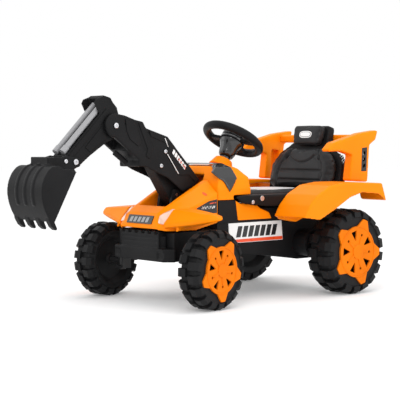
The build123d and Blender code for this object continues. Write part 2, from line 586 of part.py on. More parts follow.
shell = on_back(mirrored(back_half), -SHELL_THICK, 0, 10)
shell -= on_back(mirrored(inset_half(back_half, 6)), -SHELL_THICK - 1, -5, 6)
shell -= block(-400, 400, 500, 700, 200, 294.2)
nodes["seat_back_shell"] = shell - nodes["seat_base"]
pad_half = [(120, 16), (142, 34), (148, 62), (145, 100), (122, 134), (92, 152), (64, 161)]
nodes["backrest_pad"] = on_back(mirrored(pad_half), SOFT_GAP, PAD_THICK, 10)
nodes["headrest_pad"] = on_back([(-58, 164), (58, 164), (66, 229), (-66, 229)], SOFT_GAP, PAD_THICK + 6, 10)
badge = SlotOverall(52, 22)
nodes["headrest_badge"] = extrude(back_frame * (Pos(0, 196, PAD_THICK + 6) * badge), 2.0, dir=back_frame.z_dir)

# ---------------------------------------------------------------- rear fenders
FENDER_X0 = SEAT_HALF + 1.0
FENDER_X1 = 282.0
fender_top = [(335, 244), (357, 280), (391, 311), (444, 337), (511, 345), (581, 345), (686, 340), (708, 283)]
fender_arch = [(667, 306), (590, 312), (535, 298), (467, 264), (400, 235)]
fender = side_prism(fender_top + fender_arch, FENDER_X0, FENDER_X1)
under = [(y + 3, z - WALL) for y, z in fender_top[:-2]] + [(682, 336), (700, 283)]
below = [(720, 200), (330, 200)]
fender -= side_prism(under + below, FENDER_X0 + 30, FENDER_X1 - WALL)
fender -= side_prism([(330, 200), (360, 262), (470, 318), (560, 332), (600, 332), (720, 320), (720, 200)],
                     FENDER_X0 - 1, FENDER_X0 + 30)
fender = fillet(fender.edges().filter_by(lambda e: abs(e.center().X - FENDER_X1) < 0.01)
                .filter_by(lambda e: e.center().Z > 318), 3)
flange = side_prism([(345, 236), (400, 226), (470, 250), (470, 262), (357, 268)], FENDER_X0 + 2, FENDER_X0 + 34)
fender = (fender + flange) - nodes["seat_base"] - nodes["seat_back_shell"]
nodes["rear_fender_left"] = fender
nodes["rear_fender_right"] = mirror(fender, about=Plane.YZ)

# ---------------------------------------------------------------- rear frame
FRAME_X0 = 174.0
FRAME_X1 = 206.0
frame_side = [(618, 346), (705, 341), (714, 459), (743, 475), (755, 507), (672, 497), (543, 466), (511, 438),
              (580, 440), (630, 428)]
pillar = side_prism(frame_side, FRAME_X0, FRAME_X1, 5)
pillar -= side_prism([(650, 360), (682, 360), (690, 440), (654, 444)], FRAME_X0 - 1, FRAME_X1 - 8, 3)
nodes["rear_frame_left"] = pillar - nodes["rear_fender_left"]
nodes["rear_frame_right"] = mirror(nodes["rear_frame_left"], about=Plane.YZ)
BAR_Y = (694.0, 716.0)
BAR_Z = (466.0, 492.0)
crossbar = block(-FRAME_X0, FRAME_X0, *BAR_Y, *BAR_Z)
crossbar = fillet(crossbar.edges().filter_by(Axis.X), 7)
nodes["rear_crossbar"] = crossbar

# ---------------------------------------------------------------- digger arm
# The boom is two wide side plates under one top skin, round a narrow sleeve
# that stands on the pivot pin in the hood's trough.
SLEEVE_HALF_X = 22.0
boom_top = [(-183, 548), (-150, 543), (-112, 531), (-85, 526), (-74, 508), (6.5, 484), (130, 357)]
boom_low = [(112, 338), (64, 322), (6, 364), (-57, 388), (-74, 397), (-100, 398), (-100, 418),
            (-132, 443), (-172, 472), (-183, 480)]
boom = side_prism(boom_top + boom_low, -BOOM_HALF, BOOM_HALF)
boom += cross_rod(*ELBOW, -BOOM_HALF, BOOM_HALF, 34)
core = [(-60, 500), (2, 478), (122, 352), (100, 300), (0, 330), (-60, 370), (-94, 392), (-92, 424)]
boom -= side_prism(core, -BOOM_HALF + WALL, BOOM_HALF - WALL)
column = [(-66, 470), (-60, 430), (-30, 395), (36, 296), (48, 283), (72, 283), (88, 300), (120, 352), (4, 481), (-58, 502)]
boom += side_prism(column, -SLEEVE_HALF_X, SLEEVE_HALF_X)
inside = [(-52, 466), (-46, 430), (-20, 398), (34, 318), (40, 336), (66, 336), (74, 318), (104, 350), (2, 462)]
boom -= side_prism(inside, -SLEEVE_HALF_X + WALL, SLEEVE_HALF_X - WALL)
CLEVIS_R = 62.0
clevis = cross_rod(*ELBOW, -STICK_HALF - ARM_CLEAR, STICK_HALF + ARM_CLEAR, CLEVIS_R)
clevis += side_prism([(-183, 600), (-183, 400), (-140, 424), (-128, 470), (-126, 600)],
                     -STICK_HALF - ARM_CLEAR, STICK_HALF + ARM_CLEAR)
boom -= clevis
boom -= cross_rod(*ELBOW, -100, 100, ARM_PIN_R)
boom -= cross_rod(*BOOM_PIVOT, -100, 100, ARM_PIN_R + FIT)
GROOVE = 2.0
ridge = [(-74, 494), (4, 470), (92, 376), (106, 350), (114, 356), (10, 478), (-66, 502)]
panel = [(-150, 528), (-112, 520), (-80, 456), (-74, 440), (-84, 436), (-96, 458), (-120, 508), (-150, 516)]
for x0, x1 in ((BOOM_HALF - GROOVE, BOOM_HALF + 1), (-BOOM_HALF - 1, -BOOM_HALF + GROOVE)):
    boom -= side_prism(ridge, x0, x1)
    boom -= side_prism(panel, x0, x1)
nodes["boom_shell"] = boom
strut = rod((0, -112, 410), (0, -152, 438), 8)
nodes["boom_strut"] = strut - nodes["boom_shell"]


def pin_with_heads(place, half, radius):
    """A cross pin whose two heads lie on the outer faces."""
    pin = cross_rod(*place, -half, half, radius)
    heads = [bolt_head(*place, side * half, side, radius + 3) for side in (1, -1)]
    return pin.fuse(*heads)


nodes["elbow_pin"] = pin_with_heads(ELBOW, BOOM_HALF, ARM_PIN_R)
boom_bolts = []
for place in ((-4, 441), (-20, 400)):
    for side in (1, -1):
        boom_bolts += bolt_head(*place, side * BOOM_HALF, side).solids()
nodes["boom_bolts"] = Compound(boom_bolts)
CHEEK_THICK = 9.0
cheek_in = SLEEVE_HALF_X + ARM_CLEAR
cheek_out = cheek_in + CHEEK_THICK
nodes["boom_pin"] = cross_rod(*BOOM_PIVOT, -cheek_out, cheek_out, ARM_PIN_R)
cheeks = []
for side in (1, -1):
    x_pair = sorted([side * cheek_in, side * cheek_out])
    cheek = side_prism([(24, TROUGH_FLOOR), (84, TROUGH_FLOOR), (66, 330), (38, 330)], *x_pair, 6)
    cheeks += (cheek - cross_rod(*BOOM_PIVOT, -100, 100, ARM_PIN_R)).solids()
nodes["arm_brackets"] = Compound(cheeks)

stick_side = [(-168, 566), (-186, 584), (-200.3, 572.3), (-342, 430.6), (-338, 404), (-317, 392), (-296, 404),
              (-262, 430), (-206, 466), (-183, 474), (-158, 500), (-160, 541)]
stick = side_prism(stick_side, -STICK_HALF, STICK_HALF, 4)
stick_core = [(-208, 556), (-320, 444), (-300, 416), (-262, 440), (-226, 466), (-208, 500)]
stick -= side_prism(stick_core, -STICK_HALF + WALL, STICK_HALF - WALL)
stick -= cross_rod(*ELBOW, -100, 100, ARM_PIN_R + FIT)
stick -= cross_rod(*BUCKET_PIVOT, -100, 100, ARM_PIN_R)
for side in (1, -1):
    x_pair = sorted([side * (STICK_HALF - GROOVE), side * (STICK_HALF + 1)])
    stick -= side_prism([(-196, 552), (-202, 552), (-318, 436), (-314, 430), (-198, 546)], *x_pair)
    stick -= side_prism([(-232, 484), (-246, 476), (-262, 446), (-256, 446), (-242, 472), (-232, 478)], *x_pair)
stick += side_prism([(-170, 562), (-190, 592), (-214, 598), (-222, 590), (-206, 562)], -STICK_HALF, STICK_HALF, 2)
CROWN_CHEEK = 4.0
for side in (1, -1):
    x_pair = sorted([side * (STICK_HALF - CROWN_CHEEK), side * STICK_HALF])
    stick += side_prism([(-200, 560), (-212, 597), (-240, 587), (-246, 576), (-232, 548)], *x_pair)
nodes["stick_arm"] = stick
BAR_X = 17.0
BAR_R = 8.0
BAR_TOP = (-200.3, 572.3)
BAR_LOW = (-338.3, 434.3)
face_dir = Vector(0, BAR_TOP[0] - BAR_LOW[0], BAR_TOP[1] - BAR_LOW[1]).normalized()
face_out = Vector(0, -face_dir.Z, face_dir.Y)
bars = []
for side in (1, -1):
    top = Vector(side * BAR_X, *BAR_TOP) + face_out * (BAR_R + 0.2)
    low = Vector(side * BAR_X, *BAR_LOW) + face_out * (BAR_R + 0.2)
    shaft = rod(top, low, BAR_R)
    shaft += rod(low, low + (top - low) * 0.10, BAR_R + 1.5)
    bars.append((shaft - nodes["stick_arm"]).solids().sort_by(SortBy.VOLUME)[-1])
nodes["stick_bars"] = Compound(bars)
bucket_head = STICK_HALF + ARM_CLEAR + 8
nodes["bucket_pin"] = pin_with_heads(BUCKET_PIVOT, bucket_head, ARM_PIN_R)

# ---------------------------------------------------------------- bucket
MOUTH_TOP = (-347.0, 388.0)
MOUTH_LOW = (-417.0, 262.0)


def bucket_profile(inset):
    """Side outline of the bucket: straight mouth, curved back."""
    back = Spline((MOUTH_TOP[0] - 38, MOUTH_TOP[1] + 8 - inset), (-418 + inset * 0.6, 404 - inset * 0.9),
                  (-446 + inset, 376), (-456 + inset, 336), (-447 + inset, 292), (-428 + inset, 258))
    top = Polyline((MOUTH_TOP[0] + inset * 0.6, MOUTH_TOP[1] + inset * 0.2), (MOUTH_TOP[0] - 4, MOUTH_TOP[1] + 8 - inset),
                   back @ 0)
    low = Polyline(back @ 1, (MOUTH_LOW[0] + inset * 0.6, MOUTH_LOW[1] - 6 - inset * 0.2),
                   (MOUTH_TOP[0] + inset * 0.6, MOUTH_TOP[1] + inset * 0.2))
    return make_face([*top.edges(), *back.edges(), *low.edges()])


def bucket_prism(inset, half):
    """The bucket outline between plus and minus half its width."""
    return extrude(Plane.YZ.offset(-half) * bucket_profile(inset), 2 * half, dir=(1, 0, 0))


bucket = bucket_prism(0, BUCKET_HALF) - bucket_prism(WALL, BUCKET_HALF - WALL)
for side in (1, -1):
    x_pair = sorted([side * (BUCKET_HALF - 0.5), side * (BUCKET_HALF + 3)])
    band = side_prism([MOUTH_TOP, (MOUTH_TOP[0] - 16, MOUTH_TOP[1] + 2), (MOUTH_LOW[0] - 12, MOUTH_LOW[1] - 4),
                       (MOUTH_LOW[0], MOUTH_LOW[1] - 2)], *x_pair)
    bucket += band
for i in range(TOOTH_COUNT):
    x = (i - (TOOTH_COUNT - 1) / 2) * (2 * BUCKET_HALF - TOOTH_WIDTH) / (TOOTH_COUNT - 1)
    tooth = side_prism([(-434, 272), (-420, 266), (-407, 238), (-411, 234), (-424, 244), (-434, 262)],
                       x - TOOTH_WIDTH / 2, x + TOOTH_WIDTH / 2, 1.5)
    bucket += tooth
RIB_COUNT = 3
for i in range(RIB_COUNT):
    x = (i - 1) * 38
    bucket += bucket_prism(-3, 5).moved(Location((x, 0, 0))) - bucket_prism(WALL, 400) - \
        side_prism([(-500, 200), (-300, 200), (-300, 300), (-500, 300)], -200, 200) - \
        side_prism([(-395, 200), (-300, 200), (-300, 500), (-395, 500)], -200, 200)
EAR_X0 = STICK_HALF + ARM_CLEAR
for side in (1, -1):
    x_pair = sorted([side * EAR_X0, side * bucket_head])
    ear = side_prism([(-392, 394), (-340, 390), (-300, 402), (-300, 424), (-346, 432), (-392, 420)], *x_pair, 6)
    bucket += ear
saddle = block(-bucket_head, bucket_head, -408, -366, 396, 428) - cross_rod(*BUCKET_PIVOT, -90, 90, 47)
bucket += saddle
bucket -= cross_rod(*BUCKET_PIVOT, -100, 100, ARM_PIN_R + FIT)
bucket -= cross_rod(*BUCKET_PIVOT, -EAR_X0, EAR_X0, 38)
nodes["bucket_shell"] = bucket
bucket_bolts = []
for side in (1, -1):
    bucket_bolts += bolt_head(*BUCKET_BOLT, side * bucket_head, side, 6).solids()
nodes["bucket_bolts"] = Compound(bucket_bolts)

# ---------------------------------------------------------------- screws in the body
screws = []
for side in (1, -1):
    screws += bolt_head(247, 290, side * SEAT_HALF, side, 6).solids()
    screws += bolt_head(286, 300, side * SEAT_HALF, side, 8, 2.5).solids()
nodes["seat_screws"] = Compound(screws)

# ---------------------------------------------------------------- writing
boxes = [piece.bounding_box() for piece in nodes.values()]
low_corner = [min(getattr(b.min, axis) for b in boxes) for axis in "XYZ"]
high_corner = [max(getattr(b.max, axis) for b in boxes) for axis in "XYZ"]
to_middle = Pos(-(low_corner[0] + high_corner[0]) / 2, -(low_corner[1] + high_corner[1]) / 2, -low_corner[2])
for name, piece in nodes.items():
    export_step(to_middle * piece, f"parts/{name}.step")
print("nodes", len(nodes), "from", low_corner, "to", high_corner)
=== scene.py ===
# %% [markdown]
# # A child's ride-on digger
# The CAD model holds every size and joint of this toy tractor. This lesson dresses it: it loads the CAD parts as a
# fixed frame, gives each one its moulded-plastic, steel or padded finish, and adds the pieces that CAD only
# stands in for, such as the sewn pads. Loading the frame first means that every new piece takes its place from it.

# %% Load the frame
import bpy
import bmesh
import json
import math
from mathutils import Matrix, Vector


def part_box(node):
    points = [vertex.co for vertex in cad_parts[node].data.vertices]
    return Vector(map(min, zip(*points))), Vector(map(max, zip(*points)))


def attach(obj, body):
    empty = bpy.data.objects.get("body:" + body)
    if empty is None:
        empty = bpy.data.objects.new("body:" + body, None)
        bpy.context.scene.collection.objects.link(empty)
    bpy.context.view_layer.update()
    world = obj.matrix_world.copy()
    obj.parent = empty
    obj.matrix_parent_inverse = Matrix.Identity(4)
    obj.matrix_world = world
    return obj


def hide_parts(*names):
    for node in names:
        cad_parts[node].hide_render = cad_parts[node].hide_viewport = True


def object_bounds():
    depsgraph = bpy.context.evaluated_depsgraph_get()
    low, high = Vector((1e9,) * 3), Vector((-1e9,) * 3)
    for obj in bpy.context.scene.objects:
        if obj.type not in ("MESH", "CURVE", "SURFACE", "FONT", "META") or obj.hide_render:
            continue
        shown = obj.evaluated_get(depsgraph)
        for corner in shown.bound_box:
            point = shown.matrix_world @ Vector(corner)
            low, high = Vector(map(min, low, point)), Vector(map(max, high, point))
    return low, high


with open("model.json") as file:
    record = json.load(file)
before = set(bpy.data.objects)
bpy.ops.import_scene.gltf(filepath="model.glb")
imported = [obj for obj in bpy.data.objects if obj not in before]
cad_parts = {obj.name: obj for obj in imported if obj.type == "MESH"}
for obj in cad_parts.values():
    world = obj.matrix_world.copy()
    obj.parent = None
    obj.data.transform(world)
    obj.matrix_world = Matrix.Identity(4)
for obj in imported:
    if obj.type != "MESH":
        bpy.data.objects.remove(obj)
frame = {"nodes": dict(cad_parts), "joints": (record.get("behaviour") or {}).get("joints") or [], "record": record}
cad_low, cad_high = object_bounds()
print("CAD size in metres", [round(v, 3) for v in cad_high - cad_low])

# %% [markdown]
# The tractor is drawn about its front axle, so that is the natural zero for its panels. The axle lies in the middle
# of the steel front beam. `at` turns millimetres from that axle into a point in the frame.

# %% A ruler that starts at the front axle
MM = 0.001
beam_low, beam_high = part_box("front_beam")
axle_y = (beam_low.y + beam_high.y) / 2


def at(x, y, z):
    """A point in the frame, from millimetres across, back from the front axle and up from the floor."""
    return Vector((x * MM, axle_y + y * MM, z * MM))


print("front axle lies at y =", round(axle_y, 4))

# %% [markdown]
# ## Materials
# Toy bodies are moulded from polypropylene. It has a faint orange-peel from the mould, so a fine noise drives a small
# bump, and broad noise makes the gloss uneven. A bevel node rounds each edge's highlight, because moulded plastic
# never has a knife edge. One maker function serves every plastic, and only the colour and gloss change.

# %% One maker for moulded plastics
def new_material(name):
    """An empty node material with its shader, tree and a link helper."""
    material = bpy.data.materials.new(name)
    material.use_nodes = True
    tree = material.node_tree
    shader = next(n for n in tree.nodes if n.type == "BSDF_PRINCIPLED")
    return material, tree, shader


def noise(tree, scale, detail=3.0, rough=0.5):
    """Noise over the piece's own coordinates, in metres."""
    place = tree.nodes.new("ShaderNodeTexCoord")
    node = tree.nodes.new("ShaderNodeTexNoise")
    node.inputs["Scale"].default_value = scale
    node.inputs["Detail"].default_value = detail
    node.inputs["Roughness"].default_value = rough
    tree.links.new(place.outputs["Object"], node.inputs["Vector"])
    return node


def ramp(tree, source, low, high, start=0.35, end=0.65):
    """Maps a texture onto two colours."""
    node = tree.nodes.new("ShaderNodeValToRGB")
    node.color_ramp.elements[0].position = start
    node.color_ramp.elements[1].position = end
    node.color_ramp.elements[0].color = (*low, 1)
    node.color_ramp.elements[1].color = (*high, 1)
    tree.links.new(source, node.inputs["Fac"])
    return node


def plastic(name, colour, rough, grain=0.08, grain_scale=900, spread=0.06, coat=0.0, edge=0.0012, shine=0.5):
    """Moulded plastic: slight colour drift, uneven gloss, fine grain and softened edges."""
    material, tree, shader = new_material(name)
    broad = noise(tree, 9, 4)
    darker = [c * (1 - spread) for c in colour]
    lighter = [min(1, c * (1 + spread)) for c in colour]
    drift = ramp(tree, broad.outputs["Fac"], darker, lighter)
    tree.links.new(drift.outputs["Color"], shader.inputs["Base Color"])
    gloss = tree.nodes.new("ShaderNodeMapRange")
    gloss.inputs["To Min"].default_value = rough * 0.88
    gloss.inputs["To Max"].default_value = rough * 1.12
    tree.links.new(noise(tree, 40, 5).outputs["Fac"], gloss.inputs["Value"])
    tree.links.new(gloss.outputs["Result"], shader.inputs["Roughness"])
    shader.inputs["Specular IOR Level"].default_value = shine
    shader.inputs["Coat Weight"].default_value = coat
    shader.inputs["Coat Roughness"].default_value = 0.12
    bump = tree.nodes.new("ShaderNodeBump")
    bump.inputs["Strength"].default_value = grain
    bump.inputs["Distance"].default_value = 0.0004
    tree.links.new(noise(tree, grain_scale, 2).outputs["Fac"], bump.inputs["Height"])
    bevel = tree.nodes.new("ShaderNodeBevel")
    bevel.samples = 4
    bevel.inputs["Radius"].default_value = edge
    tree.links.new(bevel.outputs["Normal"], bump.inputs["Normal"])
    tree.links.new(bump.outputs["Normal"], shader.inputs["Normal"])
    return material


orange = plastic("orange_plastic", (1.0, 0.245, 0.0008), 0.40, coat=0.02, spread=0.03, shine=0.08)
cap_orange = plastic("cap_orange_plastic", (0.80, 0.180, 0.002), 0.5, grain=0.3, grain_scale=500,
                     spread=0.10, shine=0.06)
# A darker, redder orange that is painted shade, used for the screw recess on the hood.
recess_shade_orange = plastic("orange_painted_recess_shade", (0.88, 0.085, 0.003), 0.42, shine=0.3)
black = plastic("black_plastic", (0.0090, 0.0090, 0.0096), 0.46, grain=0.3, grain_scale=1400, spread=0.2, shine=0.11)
wheel_black = plastic("wheel_plastic", (0.008, 0.008, 0.0086), 0.5, grain=0.35, grain_scale=1100,
                      spread=0.2, shine=0.16)
gloss_black = plastic("gloss_black_plastic", (0.010, 0.010, 0.011), 0.16, grain=0.02, coat=0.5)
bar_grey = plastic("bar_grey_plastic", (0.30, 0.30, 0.31), 0.32, coat=0.2)
inner_dark = plastic("inner_plastic", (0.03, 0.03, 0.034), 0.5)
label_white = plastic("label_film", (0.80, 0.80, 0.79), 0.25, grain=0.01, spread=0.02, edge=0.0004)
label_black = plastic("label_print_black", (0.012, 0.012, 0.013), 0.25, grain=0.01, edge=0.0003)
label_red = plastic("label_print_red", (0.80, 0.07, 0.012), 0.28, grain=0.01, edge=0.0003)
lens_clear = plastic("lamp_lens", (0.86, 0.58, 0.46), 0.12, grain=0.02, spread=0.1, coat=0.8)
dark_steel = plastic("dark_coated_steel", (0.02, 0.02, 0.021), 0.4, grain=0.1, shine=0.4)
button_grey = plastic("button_plastic", (0.10, 0.10, 0.105), 0.4)
print("plastics made:", len(bpy.data.materials))

# %% [markdown]
# Bolts, axles and knuckles are zinc-plated steel. Plating has a faint cloudy patchwork, and turned parts carry
# fine rings, so a fine noise varies the roughness.

# %% Zinc-plated steel
def zinc_steel(name, colour=(0.62, 0.62, 0.64), rough=0.28):
    material, tree, shader = new_material(name)
    cloud = noise(tree, 120, 4)
    tint = ramp(tree, cloud.outputs["Fac"], [c * 0.86 for c in colour], colour)
    tree.links.new(tint.outputs["Color"], shader.inputs["Base Color"])
    shader.inputs["Metallic"].default_value = 1.0
    gloss = tree.nodes.new("ShaderNodeMapRange")
    gloss.inputs["To Min"].default_value = rough * 0.75
    gloss.inputs["To Max"].default_value = rough * 1.35
    tree.links.new(noise(tree, 600, 3).outputs["Fac"], gloss.inputs["Value"])
    tree.links.new(gloss.outputs["Result"], shader.inputs["Roughness"])
    return material


steel = zinc_steel("zinc_steel")

# %% [markdown]
# ## Dress the CAD parts
# Where a CAD part already has the right shape, it only needs a finish. A list from finish to parts keeps that
# readable, and every part that no list names falls back to satin black.

# %% Give each CAD part its finish
def dress(node, material):
    """Puts one material on every slot of a CAD part."""
    part = frame["nodes"][node]
    for slot in part.material_slots:
        slot.material = material


SIDES = (("left", 1), ("right", -1))
finishes = {
    orange: ["hood", "dash_body", "column_collar", "rear_crossbar"]
    + [f"{stem}_{name}" for stem in ("front_fender", "rear_fender", "rear_frame") for name, side in SIDES],
    cap_orange: [f"{stem}_cap_{name}" for stem in ("front", "rear") for name, side in SIDES],
    wheel_black: [f"{stem}_tyre_{name}" for stem in ("front", "rear") for name, side in SIDES],
    gloss_black: ["column_sleeve", "dash_cowl"],
    bar_grey: ["stick_bars"],
    dark_steel: ["front_beam", "kingpins", "tie_rod", "steering_shaft", "knuckle_left", "knuckle_right"],
    steel: ["rear_axle", "boom_pin", "elbow_pin", "bucket_pin", "boom_bolts", "bucket_bolts", "rear_nuts",
            "seat_screws", "front_nut_left", "front_nut_right"],
    inner_dark: ["battery", "drive_motors"],
    label_white: ["side_labels", "headrest_badge"],
    lens_clear: ["headlights"],
    label_black: ["number_plate"],
    button_grey: ["horn_button"],
}
named = {node: material for material, nodes in finishes.items() for node in nodes}
for node in frame["nodes"]:
    dress(node, named.get(node, black))
print("dressed", len(frame["nodes"]), "CAD parts,", len(named), "by name")

# %% [markdown]
# ## Moulded panels
# Hood, fenders, dash and arm are blow-moulded or injection-moulded shells. The tool that shapes them has a radius on
# every corner, which is most of what makes plastic look like plastic. Rounding each edge by hand with a bevel breaks
# on surfaces that meet at odd angles. A voxel remesh turns each CAD solid into an even skin instead, and a few
# smoothing passes wear its corners down to the mould's radius, while the flat faces stay where CAD put them.

# %% Where a CAD part belongs
home_body = {node: body for body, nodes in frame["record"]["behaviour"]["bodies"].items() for node in nodes}


def stand_in(piece, node, material):
    """Lets a new piece stand for a CAD part, with its finish and its place in the motion."""
    piece.data.materials.clear()
    piece.data.materials.append(material)
    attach(piece, home_body[node])
    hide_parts(node)


def add_object(name, mesh):
    """A new object in the scene."""
    piece = bpy.data.objects.new(name, mesh)
    bpy.context.scene.collection.objects.link(piece)
    return piece


def apply_modifiers(piece):
    """Bakes the modifiers into the mesh."""
    depsgraph = bpy.context.evaluated_depsgraph_get()
    made = bpy.data.meshes.new_from_object(piece.evaluated_get(depsgraph))
    piece.modifiers.clear()
    piece.data = made
    for face in made.polygons:
        face.use_smooth = True


# %% Round the moulded panels
def moulded(node, material, voxel=0.0026, rounds=7):
    """A CAD solid remeshed into an even skin, its corners worn down to a mould's radius."""
    piece = add_object(node + "_moulding", frame["nodes"][node].data.copy())
    skin = piece.modifiers.new("skin", "REMESH")
    skin.mode = "VOXEL"
    skin.voxel_size = voxel
    ease = piece.modifiers.new("ease", "SMOOTH")
    ease.iterations = rounds
    apply_modifiers(piece)
    stand_in(piece, node, material)
    return piece


panels = {}
for node, material, voxel, rounds in (
        ("hood", orange, 0.0026, 10), ("dash_body", orange, 0.0026, 8), ("column_collar", orange, 0.002, 6),
        ("front_fender_left", orange, 0.0024, 10), ("front_fender_right", orange, 0.0024, 10),
        ("rear_fender_left", orange, 0.0028, 10), ("rear_fender_right", orange, 0.0028, 10),
        ("rear_frame_left", orange, 0.0024, 14), ("rear_frame_right", orange, 0.0024, 14),
        ("dash_cowl", gloss_black, 0.0024, 8), ("boom_shell", black, 0.0022, 5), ("stick_arm", black, 0.002, 5),
        ("bucket_shell", black, 0.002, 4), ("seat_base", black, 0.0026, 12), ("seat_back_shell", black, 0.0026, 8),
        ("front_bumper", black, 0.0022, 4), ("steering_rim", black, 0.002, 6), ("steering_pad", gloss_black, 0.002, 6)):
    panels[node] = moulded(node, material, voxel, rounds)
print("mouldings:", len(panels), "with", sum(len(p.data.vertices) for p in panels.values()), "points")

# %% [markdown]
# Under the horn pad the real wheel has a bell-shaped shroud that hides the clamp on the shaft. It is a turned shape, so
# a short profile spun about the column makes it.

# %% Turn the shroud under the steering wheel
turning = next(joint for joint in frame["joints"] if joint["name"] == "steering_turn")
column_up = Vector(turning["axis"]).normalized()
ring_centre = Vector(turning["pos_m"])


def spun(name, profile, centre, axis, steps=64):
    """A turned shell: (radius, along) millimetres about an axis, with a wall inside it."""
    across = axis.orthogonal().normalized()
    other = axis.cross(across)
    shell = bmesh.new()
    rings = []
    for radius, along in profile:
        turns = [math.tau * i / steps for i in range(steps)]
        rings.append([shell.verts.new(centre + (axis * along + across * radius * math.cos(t)
                                                + other * radius * math.sin(t)) * MM) for t in turns])
    for low, high in zip(rings, rings[1:] + rings[:1]):
        for i in range(steps):
            after = (i + 1) % steps
            shell.faces.new((low[i], low[after], high[after], high[i]))
    bmesh.ops.recalc_face_normals(shell, faces=shell.faces[:])
    mesh = bpy.data.meshes.new(name)
    shell.to_mesh(mesh)
    shell.free()
    for face in mesh.polygons:
        face.use_smooth = True
    return add_object(name, mesh)


shroud_profile = [(15.5, -62), (19, -63), (23, -60), (26, -50), (28, -36), (34, -24), (39, -15), (40, -5),
                  (38.5, 0), (37, -1), (37, -14), (20.5, -34), (19.5, -56)]
shroud = spun("steering_shroud", shroud_profile, ring_centre, column_up)
shroud.data.materials.append(gloss_black)
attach(shroud, "steering")
print("shroud points:", len(shroud.data.vertices))

# %% [markdown]
# The arm's side plates carry raised panels and rails that stiffen the thin plastic and catch the light. They stand
# 2 to 3 mm proud, so they are real geometry: each is a plate with rounded edges, laid on both sides of the arm.

# %% Lay raised panels on the arm
def slab(name, points, x0, x1, round_by=0.0004):
    """A flat plate on each side: (back, up) corners in millimetres, between two distances from the middle."""
    body = bmesh.new()
    for _, side in SIDES:
        rings = [[body.verts.new(at(side * x, y, z)) for y, z in points] for x in (x0, x1)]
        body.faces.new(rings[0])
        body.faces.new(rings[1])
        for i, corner in enumerate(rings[0]):
            after = (i + 1) % len(points)
            body.faces.new((corner, rings[0][after], rings[1][after], rings[1][i]))
    bmesh.ops.recalc_face_normals(body, faces=body.faces[:])
    bmesh.ops.bevel(body, geom=body.edges[:], offset=round_by, segments=2, affect="EDGES")
    mesh = bpy.data.meshes.new(name)
    body.to_mesh(mesh)
    body.free()
    return add_object(name, mesh)


arm_panels = {
    "boom_band": ("boom_shell", 45.5, 48.2, [(-64, 500), (5, 479), (124, 357), (112, 349), (84, 372), (46, 372),
                                            (-2, 436), (8, 452), (2, 464), (-58, 484)]),
    "boom_diamond": ("boom_shell", 45.5, 48.0, [(-150, 534), (-114, 525), (-92, 468), (-104, 456),
                                                (-134, 476), (-146, 500)]),
    "boom_brace": ("boom_shell", 45.5, 48.0, [(-104, 523), (-88, 519), (-50, 452), (-62, 420), (-76, 428), (-70, 448)]),
    "stick_rail": ("stick_arm", 31.5, 34.0, [(-196, 560), (-206, 562), (-334, 434), (-330, 424),
                                             (-320, 426), (-196, 546)]),
    "stick_panel": ("stick_arm", 31.5, 33.6, [(-204, 530), (-280, 454), (-262, 440), (-240, 456), (-206, 476)]),
}
laid = {}
for name, (node, x0, x1, points) in arm_panels.items():
    laid[name] = slab(name, points, x0, x1, 0.0009)
    laid[name].data.materials.append(black)
    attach(laid[name], home_body[node])
print("raised panels:", len(laid))

# %% [markdown]
# ## Printed films
# The graphics on such a toy are printed films stuck on the panels. An image texture would need a picture; a film cut to
# shape is lighter and stays sharp. Each film is a flat outline that is cut finely, dropped onto the panel along one
# direction, and given a hair of thickness, so it follows the panel's curve. The marks are plain bars and wedges.

# %% Drop a film onto a panel
from mathutils.bvhtree import BVHTree

FILM_LIFT = 0.0005
FILM_THICK = 0.0003


def film(name, corners, panel, inward, material, home, lift=FILM_LIFT):
    """A thin film: corners lie off the panel, and inward is the way it drops onto it."""
    sheet = bmesh.new()
    sheet.faces.new([sheet.verts.new(corner) for corner in corners])
    bmesh.ops.triangulate(sheet, faces=sheet.faces[:])
    for _ in range(6):
        long_edges = [edge for edge in sheet.edges if edge.calc_length() > 0.006]
        if not long_edges:
            break
        bmesh.ops.subdivide_edges(sheet, edges=long_edges, cuts=1)
        bmesh.ops.triangulate(sheet, faces=sheet.faces[:])
    ground = BVHTree.FromObject(panel, bpy.context.evaluated_depsgraph_get())
    drops = []
    for vertex in sheet.verts:
        place = ground.ray_cast(vertex.co, inward)[0]
        drops.append(None if place is None else (place - vertex.co).dot(inward))
    known = [drop for drop in drops if drop is not None]
    usual = sorted(known)[len(known) // 2]
    for vertex, drop in zip(sheet.verts, drops):
        vertex.co += inward * ((usual if drop is None else drop) - lift)
    bmesh.ops.recalc_face_normals(sheet, faces=sheet.faces[:])
    if sum((face.normal for face in sheet.faces), Vector()).dot(inward) > 0:
        bmesh.ops.reverse_faces(sheet, faces=sheet.faces[:])
    bmesh.ops.solidify(sheet, geom=sheet.faces[:], thickness=FILM_THICK)
    mesh = bpy.data.meshes.new(name)
    sheet.to_mesh(mesh)
    sheet.free()
    piece = add_object(name, mesh)
    mesh.materials.append(material)
    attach(piece, home_body[home])
    return piece


def side_films(name, points, panel_of, x, material, home):
    """The same film on both sides. Points are (back, up) millimetres from the front axle."""
    for side_name, side in SIDES:
        corners = [at(side * x, y, z) for y, z in points]
        film(f"{name}_{side_name}", corners, panel_of, Vector((-side, 0, 0)), material, home)


def bars(start, along, up, count, wide, gap, tall, slant):
    """Slanted bars in a row, each a four-cornered outline."""
    made = []
    for i in range(count):
        at_y = start[0] + along[0] * i * (wide + gap)
        at_z = start[1] + along[1] * i * (wide + gap)
        low = (at_y, at_z)
        low_end = (at_y + along[0] * wide, at_z + along[1] * wide)
        rise = (up[0] * tall + along[0] * slant, up[1] * tall + along[1] * slant)
        high = (low[0] + rise[0], low[1] + rise[1])
        high_end = (low_end[0] + rise[0], low_end[1] + rise[1])
        made.append([low, low_end, high_end, high])
    return made


